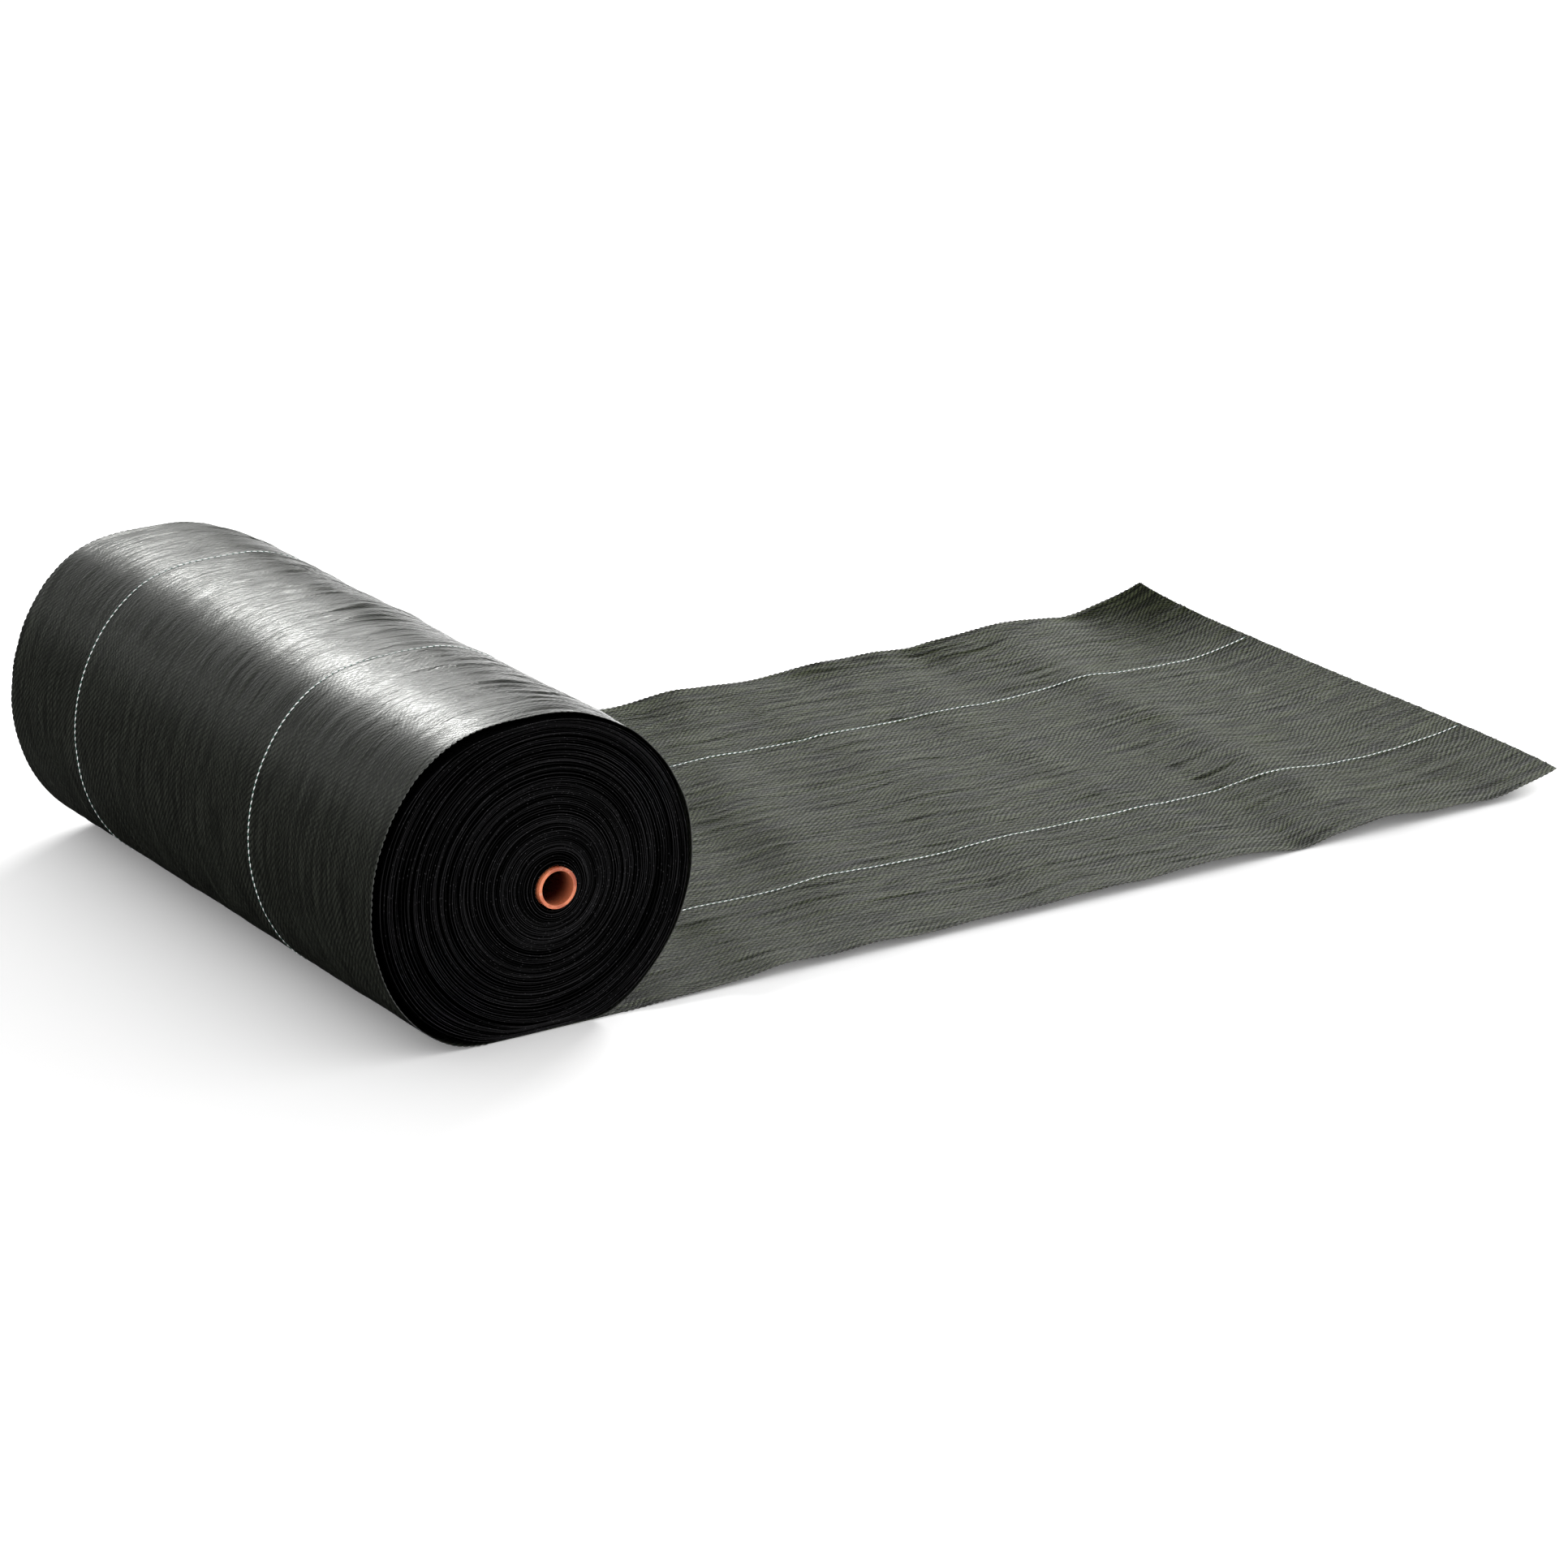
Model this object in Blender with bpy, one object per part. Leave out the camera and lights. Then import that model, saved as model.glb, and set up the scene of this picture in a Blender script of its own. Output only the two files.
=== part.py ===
"""Roll of woven weed control fabric, partly rolled out on flat ground.

One long cloth is wound on a plastic core tube. Seen from its near end it winds outwards
anticlockwise: the tight wound cloth and the tube turn together about the tube's axis, inside
a few slack outer turns that have sagged to the left. The outermost turn runs off under the
roll to the right as the laid length, whose free end curls up. Two marker yarns are woven in
along the cloth. Everything is modelled about the roll first, with the near rim of the cloth
at y = 0 and the tube's axis above x = 0, and the whole is then centred on its own box.
"""

import math

import bmesh
import bpy
import numpy as np
from mathutils import Matrix

# Driving dimensions in metres
CLOTH_WIDTH = 0.61
CLOTH_THICKNESS = 0.0006
ROLL_RADIUS = 0.1303
ROLL_SAG = 0.0123
LAID_REACH = 1.005

# Core tube, pushed out of the roll at the near end
CORE_OUTER_DIAMETER = 0.032
CORE_WALL = 0.00275
CORE_LENGTH = 0.61
CORE_PUSH = 0.020
CORE_SEGMENTS = 48

# Double-sided tape that grips the first turn to the tube
TAPE_WIDTH = 0.036
TAPE_THICKNESS = 0.0005
TAPE_SEGMENTS = 9

# Gap that touching pieces keep, and the smallest gap wanted inside a winding
SEAT_GAP = 0.0003
LEAST_WINDING_GAP = 0.0004

# Wound cloth: a spiral whose turns stand for several real ones each, in three stretches
WOUND_LOOPS = 18
WOUND_STRETCHES = ("inner_wound_turns", "middle_wound_turns", "outer_wound_turns")
WOUND_LOOP_POINTS = 24
WOUND_GAP = 0.0011
INNER_TURN_PUSH = 0.017

# Slack outer turns, which bulge towards the left and lie flattened on the ground
SLACK_LOOPS = 6
SLACK_LOOP_POINTS = 60
SLACK_GAP = 0.0005
RUNNING_GAP = 0.0005
SLACK_BULGE = 0.016
BULGE_DIRECTION = math.radians(174)
BULGE_SPREAD = math.radians(65)
BULGE_FLATNESS = 6
GROUND_BLEND = 0.006

# Laid length: its rise off the ground along the edges and at the free end
BASE_RISE = 0.001
SELVEDGE_RISE_NEAR = 0.0055
SELVEDGE_RISE_FAR = 0.007
SELVEDGE_REACH = 0.055
RISE_START = 0.058
RISE_RUN = 0.120
END_CURL_LENGTH = 0.080
END_LIFT_NEAR = 0.013
END_LIFT_FAR = 0.0165
MIDDLE_LIFT_SHARE = 0.55
CORNER_PULL_NEAR = 0.028
CORNER_PULL_FAR = 0.010
FOLD_HEIGHT = 0.0030
REST_BLEND = 0.0008
LAID_STEPS = 42
STATION_CROWDING_SHARE = 0.5

# Folds across the laid length: place on the near edge, drift towards the far edge, height
# and half width, as shares of the reach, the reach, the fold height and the reach
FOLD_SHARES = (
    (0.29, 0.185, 0.70, 0.036),
    (0.50, 0.060, 0.30, 0.040),
    (0.70, 0.035, -0.65, 0.027),
    (0.79, 0.040, 1.00, 0.038),
    (0.91, 0.000, -0.70, 0.025),
)

# Places across the cloth, between the marker yarns and the edges, where the mesh has a line
NEAR_BAND_SHARES = (0.0, 0.12, 0.4)
MIDDLE_BAND_SHARES = (0.25, 0.5, 0.75)
FAR_BAND_SHARES = (0.6, 0.88, 1.0)

# Marker yarns, as far apart as the usual stripe spacing. On the right of the roll they drift
# away from the near rim, because the outermost turn has slid along the ones below it
NEAR_MARKER_PLACE = 0.154
MARKER_SPACING = 0.300
MARKER_WIDTH = 0.0025
MARKER_THICKNESS = 0.0004
MARKER_DRIFT = 0.036
DRIFT_END_ANGLE = math.radians(50)
MARKER_START_ANGLE = math.radians(-60)
MARKER_GROUND_STOP = 0.004
SHEET_MARKER_START = 0.062

# Sizes that follow from those above
AXIS_HEIGHT = ROLL_RADIUS - ROLL_SAG
CORE_RADIUS = CORE_OUTER_DIAMETER / 2
CORE_BORE_RADIUS = CORE_RADIUS - CORE_WALL
TAPE_RADIUS = CORE_RADIUS + SEAT_GAP
TURN_FLAT_SHARE = math.cos(math.pi / WOUND_LOOP_POINTS)
SLACK_FLAT_SHARE = math.cos(math.pi / SLACK_LOOP_POINTS)
TAPE_STEP = TAPE_WIDTH / TAPE_RADIUS / TAPE_SEGMENTS
FIRST_TURN_RADIUS = (TAPE_RADIUS + TAPE_THICKNESS + SEAT_GAP) / TURN_FLAT_SHARE
SLACK_PITCH = CLOTH_THICKNESS + SLACK_GAP
SLACK_START_RADIUS = AXIS_HEIGHT - CLOTH_THICKNESS - SLACK_LOOPS * SLACK_PITCH
WOUND_RADIUS = SLACK_START_RADIUS * SLACK_FLAT_SHARE - RUNNING_GAP
WOUND_PITCH = (WOUND_RADIUS - FIRST_TURN_RADIUS + WOUND_GAP) / (WOUND_LOOPS - 1)
BOTTOM_ANGLE = math.radians(270)
MARKER_PLACES = (NEAR_MARKER_PLACE, NEAR_MARKER_PLACE + MARKER_SPACING)

CLOTH_COLOUR = (0.040, 0.044, 0.038, 1.0)
WOUND_COLOUR = (0.012, 0.012, 0.012, 1.0)
SLACK_COLOUR = (0.030, 0.032, 0.029, 1.0)
CORE_COLOUR = (0.56, 0.12, 0.048, 1.0)
TAPE_COLOUR = (0.62, 0.56, 0.40, 1.0)
MARKER_COLOUR = (0.62, 0.82, 0.72, 1.0)


def clear_scene():
    for old in list(bpy.data.objects):
        bpy.data.objects.remove(old, do_unlink=True)


def material(name, colour, roughness, metallic=0.0):
    made = bpy.data.materials.new(name)
    made.use_nodes = True
    shader = made.node_tree.nodes["Principled BSDF"]
    shader.inputs["Base Color"].default_value = colour
    shader.inputs["Roughness"].default_value = roughness
    shader.inputs["Metallic"].default_value = metallic
    made.diffuse_color = colour
    return made


def solid(name, points, faces, finish, sharp_degrees=35):
    """One closed body, faces pointing out, shaded smooth but for its sharp edges."""
    mesh = bpy.data.meshes.new(name)
    mesh.from_pydata([tuple(map(float, p)) for p in points], [], faces)
    shape = bmesh.new()
    shape.from_mesh(mesh)
    bmesh.ops.recalc_face_normals(shape, faces=shape.faces)
    shape.to_mesh(mesh)
    shape.free()
    mesh.shade_smooth()
    mesh.set_sharp_from_angle(angle=math.radians(sharp_degrees))
    mesh.materials.append(finish)
    made = bpy.data.objects.new(name, mesh)
    bpy.context.scene.collection.objects.link(made)
    return made


def loft(rings, closed=False):
    """Points and faces of a body through a row of rings, capped at its ends or closed."""
    rings = np.asarray(rings, float)
    count, sides = rings.shape[:2]
    faces = []
    for k in range(count if closed else count - 1):
        here, there = k * sides, (k + 1) % count * sides
        for i in range(sides):
            j = (i + 1) % sides
            faces.append((here + i, here + j, there + j, there + i))
    if not closed:
        faces.append(tuple(range(sides))[::-1])
        faces.append(tuple((count - 1) * sides + i for i in range(sides)))
    return rings.reshape(-1, 3), faces


def ribbon_rings(inner, outer, near, far):
    """Four corners at each station of a ribbon: inner and outer wall, near and far rim."""
    rings = np.zeros((len(inner), 4, 3))
    for corner, (wall, rim) in enumerate(
        ((inner, near), (outer, near), (outer, far), (inner, far))
    ):
        rings[:, corner, 0] = wall[:, 0]
        rings[:, corner, 1] = rim
        rings[:, corner, 2] = wall[:, 1]
    return rings


def around_axis(radius, angle):
    """Places in the x-z plane at a radius and an angle about the tube's axis."""
    return np.stack([radius * np.cos(angle), AXIS_HEIGHT + radius * np.sin(angle)], -1)


def raised(height, least, blend):
    """The larger of two heights, with the corner between them rounded over a blend."""
    over = np.maximum(blend - np.abs(height - least), 0.0)
    return np.maximum(height, least) + over**2 / (4 * blend)


def wound_walls():
    """Inner and outer wall of the wound cloth, one station every share of a turn.

    Both walls climb one pitch a turn. The first turn's inner wall and the last turn's outer
    wall stay round, so the cloth tapers there and the wound roll ends in a round outside.
    """
    taper = math.ceil(WOUND_LOOP_POINTS * (CLOTH_THICKNESS + WOUND_GAP) / WOUND_PITCH)
    steps = np.arange(taper, WOUND_LOOPS * WOUND_LOOP_POINTS - taper + 1)
    turn = steps / WOUND_LOOP_POINTS
    angle = BOTTOM_ANGLE + 2 * math.pi * turn
    inner = FIRST_TURN_RADIUS + WOUND_PITCH * np.maximum(turn - 1, 0)
    climb = np.minimum(turn, WOUND_LOOPS - 1)
    outer = FIRST_TURN_RADIUS + WOUND_PITCH * climb - WOUND_GAP
    return inner, outer, angle


def wound_push(radius):
    """How far a turn has slid out of the near end: most at the tube, none at the outside."""
    share = (WOUND_RADIUS - radius) / (WOUND_RADIUS - FIRST_TURN_RADIUS)
    return INNER_TURN_PUSH * np.clip(share, 0, 1) ** 2


def slack_path():
    """Middle line of the slack turns, from the innermost one to the ground under the roll.

    The outermost turn is round, with a flat-topped bulge to the left. The radius grows in
    even steps from the round start to that outline. Each turn is also kept as high as the
    turns below it are thick, so that the slack turns lie flattened on the ground.
    """
    steps = np.arange(SLACK_LOOPS * SLACK_LOOP_POINTS + 1)
    turn = steps / SLACK_LOOP_POINTS
    angle = BOTTOM_ANGLE + 2 * math.pi * (turn - SLACK_LOOPS)
    half = CLOTH_THICKNESS / 2
    off = (angle - BULGE_DIRECTION + math.pi) % (2 * math.pi) - math.pi
    outline = ROLL_RADIUS - half + SLACK_BULGE * np.exp(-((off / BULGE_SPREAD) ** BULGE_FLATNESS))
    start = SLACK_START_RADIUS + half
    radius = start + (outline - start) * turn / SLACK_LOOPS
    lowest = start + SLACK_PITCH * turn
    path = around_axis(radius, angle)
    blend = np.clip(radius - lowest, SEAT_GAP, GROUND_BLEND)
    path[:, 1] = raised(path[:, 1], AXIS_HEIGHT - lowest, blend)
    return path, angle


def path_normals(path):
    """Unit normals of an anticlockwise path in the x-z plane, pointing outwards."""
    along = np.gradient(path, axis=0)
    along /= np.linalg.norm(along, axis=1, keepdims=True)
    return np.stack([along[:, 1], -along[:, 0]], -1)


def slack_walls():
    path, angle = slack_path()
    normal = path_normals(path)
    half = CLOTH_THICKNESS / 2
    return path - half * normal, path + half * normal, normal, angle


def least_gap(inner, outer, loop_points):
    """Least distance between one turn's outer wall and the next turn's inner wall."""
    least = math.inf
    for k in range(len(outer) - loop_points):
        window = inner[k + loop_points // 2 : k + 2 * loop_points]
        start, end = window[:-1], window[1:]
        edge = end - start
        along = ((outer[k] - start) * edge).sum(1) / (edge**2).sum(1)
        foot = start + np.clip(along, 0, 1)[:, None] * edge
        least = min(least, np.linalg.norm(outer[k] - foot, axis=1).min())
    return least


def laid_height(x, across):
    """Height of the laid length's underside at a place along it and a share across it.

    A low base rise, more along both selvedges, plus rounded folds that drift across the
    cloth, all fading in past the roll; the free end curls up as the square of the distance
    into the curl; nothing goes below the ground.
    """
    edge = np.minimum(across, 1 - across) * CLOTH_WIDTH
    selvedge = SELVEDGE_RISE_NEAR + (SELVEDGE_RISE_FAR - SELVEDGE_RISE_NEAR) * across
    rise = BASE_RISE + selvedge * np.exp(-edge / SELVEDGE_REACH)
    for place, drift, height, width in FOLD_SHARES:
        off = (x / LAID_REACH - place - drift * across) / width
        rise = rise + FOLD_HEIGHT * height * np.exp(-(off**2))
    fade = np.clip((x - RISE_START) / RISE_RUN, 0, 1)
    rise = rise * fade**2 * (3 - 2 * fade)
    curl = np.clip((x - laid_reach(across)) / END_CURL_LENGTH + 1, 0, None)
    lift = END_LIFT_NEAR + (END_LIFT_FAR - END_LIFT_NEAR) * across
    lift = lift * (MIDDLE_LIFT_SHARE + (1 - MIDDLE_LIFT_SHARE) * (2 * across - 1) ** 2)
    return raised(rise, 0.0, REST_BLEND) * np.minimum(fade * 2, 1) + lift * curl**2


def laid_reach(across):
    """Reach of the free end, whose two corners are pulled back as they curl."""
    pull = CORNER_PULL_NEAR + (CORNER_PULL_FAR - CORNER_PULL_NEAR) * across
    return LAID_REACH - pull * np.abs(2 * across - 1) ** 3


def laid_stations(across, start=SEAT_GAP):
    """Places along the cloth at one share across it, closer together in the curled end."""
    share = np.linspace(0, 1, LAID_STEPS + 1)
    share = share + STATION_CROWDING_SHARE * share * (1 - share)
    return start + (laid_reach(across) - start) * share


def cloth_lines():
    """Places across the cloth of the mesh lines, with one on each side of a marker yarn."""
    near_marker, far_marker = MARKER_PLACES
    half = MARKER_WIDTH / 2
    lines = [near_marker * s for s in NEAR_BAND_SHARES]
    lines += [near_marker - half, near_marker + half]
    lines += [near_marker + MARKER_SPACING * s for s in MIDDLE_BAND_SHARES]
    lines += [far_marker - half, far_marker + half]
    lines += [far_marker + (CLOTH_WIDTH - far_marker) * s for s in FAR_BAND_SHARES]
    return lines


def make_core_tube(finish):
    angle = np.arange(CORE_SEGMENTS) * 2 * math.pi / CORE_SEGMENTS
    bore = around_axis(CORE_BORE_RADIUS, angle)
    outside = around_axis(CORE_RADIUS, angle)
    rims = np.full(CORE_SEGMENTS, -CORE_PUSH), np.full(CORE_SEGMENTS, CORE_LENGTH - CORE_PUSH)
    return solid("core_tube", *loft(ribbon_rings(bore, outside, *rims), closed=True), finish)


def make_core_tape(finish):
    angle = BOTTOM_ANGLE + np.arange(TAPE_SEGMENTS + 1) * TAPE_STEP
    inner = around_axis(TAPE_RADIUS, angle)
    outer = around_axis(TAPE_RADIUS + TAPE_THICKNESS, angle)
    near = np.full(len(angle), -INNER_TURN_PUSH)
    far = np.full(len(angle), CORE_LENGTH - CORE_PUSH)
    return solid("core_tape", *loft(ribbon_rings(inner, outer, near, far)), finish)


def make_wound_turns(finish):
    inner, outer, angle = wound_walls()
    walls = around_axis(inner, angle), around_axis(outer, angle)
    gap = least_gap(walls[0], walls[1], WOUND_LOOP_POINTS)
    print("wound turns least gap mm", round(gap * 1000, 3))
    near = -wound_push((inner + outer) / 2)
    rings = ribbon_rings(*walls, near, CLOTH_WIDTH + near)
    cuts = np.linspace(0, len(rings) - 1, len(WOUND_STRETCHES) + 1).astype(int)
    made = []
    for name, first, last in zip(WOUND_STRETCHES, cuts, cuts[1:]):
        stretch = rings[first : last + 1].copy()
        stretch[0] += (stretch[1] - stretch[0]) * start_share(stretch, SEAT_GAP)
        made.append(solid(name, *loft(stretch), finish))
    return made, gap


def start_share(rings, gap):
    """Share of the first step that leaves a gap between a stretch and the one before it."""
    return gap / np.linalg.norm(rings[1, 0] - rings[0, 0])


def make_slack_turns(finish):
    inner, outer = slack_walls()[:2]
    gap = least_gap(inner, outer, SLACK_LOOP_POINTS)
    print("slack_turns least gap mm", round(gap * 1000, 3))
    near, far = np.zeros(len(inner)), np.full(len(inner), CLOTH_WIDTH)
    return solid("slack_turns", *loft(ribbon_rings(inner, outer, near, far)), finish), gap


def make_laid_length(finish):
    """Rings across the cloth: along its underside one way and its top the other way."""
    lines = np.array(cloth_lines())
    across = lines / CLOTH_WIDTH
    along = np.stack([laid_stations(a) for a in across], 1)
    under = laid_height(along, across)
    rings = np.zeros((len(along), 2 * len(lines), 3))
    rings[:, :, 0] = np.concatenate([along, along[:, ::-1]], 1)
    rings[:, :, 1] = np.concatenate([lines, lines[::-1]])
    rings[:, :, 2] = np.concatenate([under, under[:, ::-1] + CLOTH_THICKNESS], 1)
    points, faces = loft(rings)
    return solid("laid_length", points, cross_strips(faces, len(lines), len(along)), finish)


def cross_strips(faces, lines, stations):
    """The loft's two many-sided caps, cut into one quad between each pair of mesh lines."""
    sides = 2 * lines
    kept = [f for f in faces if len(f) == 4]
    for base in (0, (stations - 1) * sides):
        for i in range(lines - 1):
            kept.append((base + i, base + i + 1, base + sides - 2 - i, base + sides - 1 - i))
    return kept


def make_sheet_marker(name, place, finish):
    """Yarn on the upper face of the laid length, on the same stations as the cloth."""
    rims = place - MARKER_WIDTH / 2, place + MARKER_WIDTH / 2
    walls = []
    for rim in rims:
        across = rim / CLOTH_WIDTH
        along = laid_stations(across)
        along = along[along > SHEET_MARKER_START]
        top = laid_height(along, across) + CLOTH_THICKNESS + SEAT_GAP
        walls.append(np.stack([along, np.full(len(along), rim), top], -1))
    near, far = walls
    lift = np.array([0.0, 0.0, MARKER_THICKNESS])
    rings = np.stack([near, far, far + lift, near + lift], 1)
    return solid(name, *loft(rings), finish)


def make_roll_marker(name, place, finish):
    """Yarn on the outermost turn, from beside the laid length over to the ground."""
    inner, outer, normal, angle = slack_walls()
    shown = (angle > MARKER_START_ANGLE) & (outer[:, 1] > MARKER_GROUND_STOP)
    foot = (outer + SEAT_GAP * normal)[shown]
    crown = (outer + (SEAT_GAP + MARKER_THICKNESS) * normal)[shown]
    turned = (angle[shown] - MARKER_START_ANGLE) / (DRIFT_END_ANGLE - MARKER_START_ANGLE)
    turned = np.clip(turned, 0, 1)
    drift = MARKER_DRIFT * turned**2 * (3 - 2 * turned)
    near = place + drift - MARKER_WIDTH / 2
    return solid(name, *loft(ribbon_rings(foot, crown, near, near + MARKER_WIDTH)), finish)


def centre_of_box():
    """Middle of the whole object's box in x and y, from the corners that set it."""
    outer = slack_walls()[1]
    left = outer[:, 0].min() - SEAT_GAP - MARKER_THICKNESS
    right = max(laid_reach(line / CLOTH_WIDTH) for line in cloth_lines())
    near, far = -CORE_PUSH, max(CLOTH_WIDTH, CORE_LENGTH - CORE_PUSH)
    return (left + right) / 2, (near + far) / 2


def pivot(name, place):
    empty = bpy.data.objects.new(name, None)
    empty.location = place
    bpy.context.scene.collection.objects.link(empty)
    return empty


def carry(pieces, empty, origin):
    """Parent pieces to an empty that stands at an origin of the modelling frame."""
    for piece in pieces:
        piece.data.transform(Matrix.Translation([-c for c in origin]))
        piece.parent = empty


def main():
    clear_scene()
    cloth = material("cloth", CLOTH_COLOUR, 0.62)
    slack = material("slack_cloth", SLACK_COLOUR, 0.45)
    wound = material("wound_cloth", WOUND_COLOUR, 0.75)
    core = material("core_plastic", CORE_COLOUR, 0.5)
    tape = material("tape", TAPE_COLOUR, 0.4)
    yarn = material("marker_yarn", MARKER_COLOUR, 0.5)

    slack_turns, slack_gap = make_slack_turns(slack)
    fixed = [slack_turns, make_laid_length(cloth)]
    for side, place in zip(("near", "far"), MARKER_PLACES):
        fixed.append(make_sheet_marker(side + "_marker_on_sheet", place, yarn))
        fixed.append(make_roll_marker(side + "_marker_on_roll", place, yarn))
    wound_turns, wound_gap = make_wound_turns(wound)
    turning = wound_turns + [make_core_tube(core), make_core_tape(tape)]
    if min(slack_gap, wound_gap) <= LEAST_WINDING_GAP:
        print("a winding lies closer to itself than the least gap")

    middle_x, middle_y = centre_of_box()
    ground = pivot("ground_frame", (-middle_x, -middle_y, 0.0))
    axle = pivot("roll_axis", (-middle_x, -middle_y, AXIS_HEIGHT))
    carry(fixed, ground, (0.0, 0.0, 0.0))
    carry(turning, axle, (0.0, 0.0, AXIS_HEIGHT))
    print("roll axis at m", [round(c, 5) for c in axle.location])
    print("near and far end of the tube at y m",
          round(-CORE_PUSH - middle_y, 5), round(CORE_LENGTH - CORE_PUSH - middle_y, 5))


main()
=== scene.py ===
import bpy
import numpy as np
from mathutils import Matrix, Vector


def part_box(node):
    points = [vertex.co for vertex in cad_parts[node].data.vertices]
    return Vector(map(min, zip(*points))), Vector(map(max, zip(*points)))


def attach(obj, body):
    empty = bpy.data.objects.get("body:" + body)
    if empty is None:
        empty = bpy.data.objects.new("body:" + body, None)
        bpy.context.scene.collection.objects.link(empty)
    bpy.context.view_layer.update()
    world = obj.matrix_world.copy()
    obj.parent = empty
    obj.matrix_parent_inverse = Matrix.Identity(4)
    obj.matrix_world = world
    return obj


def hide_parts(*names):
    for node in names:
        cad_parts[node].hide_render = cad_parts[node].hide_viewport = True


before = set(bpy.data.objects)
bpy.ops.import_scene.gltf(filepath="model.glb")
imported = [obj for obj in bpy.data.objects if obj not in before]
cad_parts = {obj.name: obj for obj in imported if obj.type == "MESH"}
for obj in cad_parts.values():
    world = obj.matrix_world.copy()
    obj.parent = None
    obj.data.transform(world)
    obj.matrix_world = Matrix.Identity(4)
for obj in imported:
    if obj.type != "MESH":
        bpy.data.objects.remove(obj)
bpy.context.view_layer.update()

# ---------------------------------------------------------------------------------------------
# The core tube: a length of terracotta plastic pipe, extruded and cut off square. The knife
# leaves a burr on both edges of the wall, so the cut end has a bright inner and outer lip. It
# stands out of the near rim of the roll and is sunk behind the far one. Its bore is painted
# near-black from a little way in at each end: painted shade inside the pipe.
TURN = 2 * np.pi
CORE_RADIUS = 0.016
CORE_BORE = 0.01325
CORE_PUSH = 0.020
CORE_SIDES = 96
WALL_STEPS = 9
LENGTH_STEPS = 12
LIP = 0.0004
CUT_GROOVE = 0.0003
CORE_COLOUR = (0.82, 0.245, 0.113)
CORE_SHADE = (0.42, 0.085, 0.036)
CORE_DUST = (0.74, 0.42, 0.30)
# The first and third numbers here paint shade deep inside the bore: its near-black colour, and
# how far inside each end it is full and how far beyond the end it would be gone.
BORE_SHADE = (0.055, 0.006, 0.003)
BORE_FILM = (0.0005, 0.0001)
BORE_SHADE_DEPTH = (0.020, 0.008)
DUST_DEPTH = 0.00025


def grid_points(*numbers):
    """Points or flat places from their numbers, each an array that fits one grid, or one number
    for all of it."""
    return np.stack(np.broadcast_arrays(*numbers), axis=-1)


def grid_faces(rows, columns, round_rows=False, round_columns=True):
    """The four-sided faces between neighbours in a grid of numbered points. A round direction
    also joins its last line of points to its first."""
    number = np.arange(rows * columns).reshape(rows, columns)
    if round_rows:
        number = np.vstack([number, number[:1]])
    if round_columns:
        number = np.hstack([number, number[:, :1]])
    cells = [number[:-1, :-1], number[:-1, 1:], number[1:, 1:], number[1:, :-1]]
    return np.stack(cells, axis=-1).reshape(-1, 4)


def build(name, points, quads, caps=None, flat=None, crease=40):
    """A mesh object from points (n, 3), faces of four corners (m, 4) and, where given, equal caps
    (k, corners). `flat` is each point's place on the cloth before it was wound, (along, across)
    in metres, kept as the UV map. Edges sharper than `crease` degrees are shaded sharp."""
    groups = [quads] if caps is None else [quads, caps]
    corners = np.concatenate([group.ravel() for group in groups]).astype(np.int32)
    sides = np.concatenate([np.full(len(group), group.shape[1]) for group in groups])
    mesh = bpy.data.meshes.new(name)
    mesh.vertices.add(len(points))
    mesh.vertices.foreach_set("co", np.ascontiguousarray(points, dtype=np.float32).ravel())
    mesh.loops.add(len(corners))
    mesh.loops.foreach_set("vertex_index", corners)
    mesh.polygons.add(len(sides))
    mesh.polygons.foreach_set("loop_start", (np.cumsum(sides) - sides).astype(np.int32))
    mesh.update(calc_edges=True)
    mesh.shade_smooth()
    mesh.set_sharp_from_angle(angle=np.radians(crease))
    if flat is not None:
        layer = mesh.uv_layers.new(name="cloth")
        layer.data.foreach_set("uv", flat[corners].astype(np.float32).ravel())
    made = bpy.data.objects.new(name, mesh)
    bpy.context.scene.collection.objects.link(made)
    return made


class Value:
    """A number, colour or place of a finish that changes over the surface. Sums and products of
    numbers add the Math nodes that work them out."""

    def __init__(self, finish, socket):
        self.finish = finish
        self.socket = socket

    def math(self, operation, *terms):
        """A Math node: its operation on the terms, in their order."""
        return self.finish.node("Math", {"operation": operation}, dict(enumerate(terms)))

    def __add__(self, other):
        return self.math("ADD", self, other)

    def __radd__(self, other):
        return self.math("ADD", other, self)

    def __sub__(self, other):
        return self.math("SUBTRACT", self, other)

    def __rsub__(self, other):
        return self.math("SUBTRACT", other, self)

    def __mul__(self, other):
        return self.math("MULTIPLY", self, other)

    def __rmul__(self, other):
        return self.math("MULTIPLY", other, self)

    def __pow__(self, other):
        return self.math("POWER", self, other)

    def __lt__(self, other):
        return self.math("LESS_THAN", self, other)

    def __gt__(self, other):
        return self.math("GREATER_THAN", self, other)

    def __abs__(self):
        return self.math("ABSOLUTE", self)

    def sine(self):
        """The sine of an angle in radians."""
        return self.math("SINE", self)

    def whole(self):
        """The whole number below."""
        return self.math("FLOOR", self)


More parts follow.
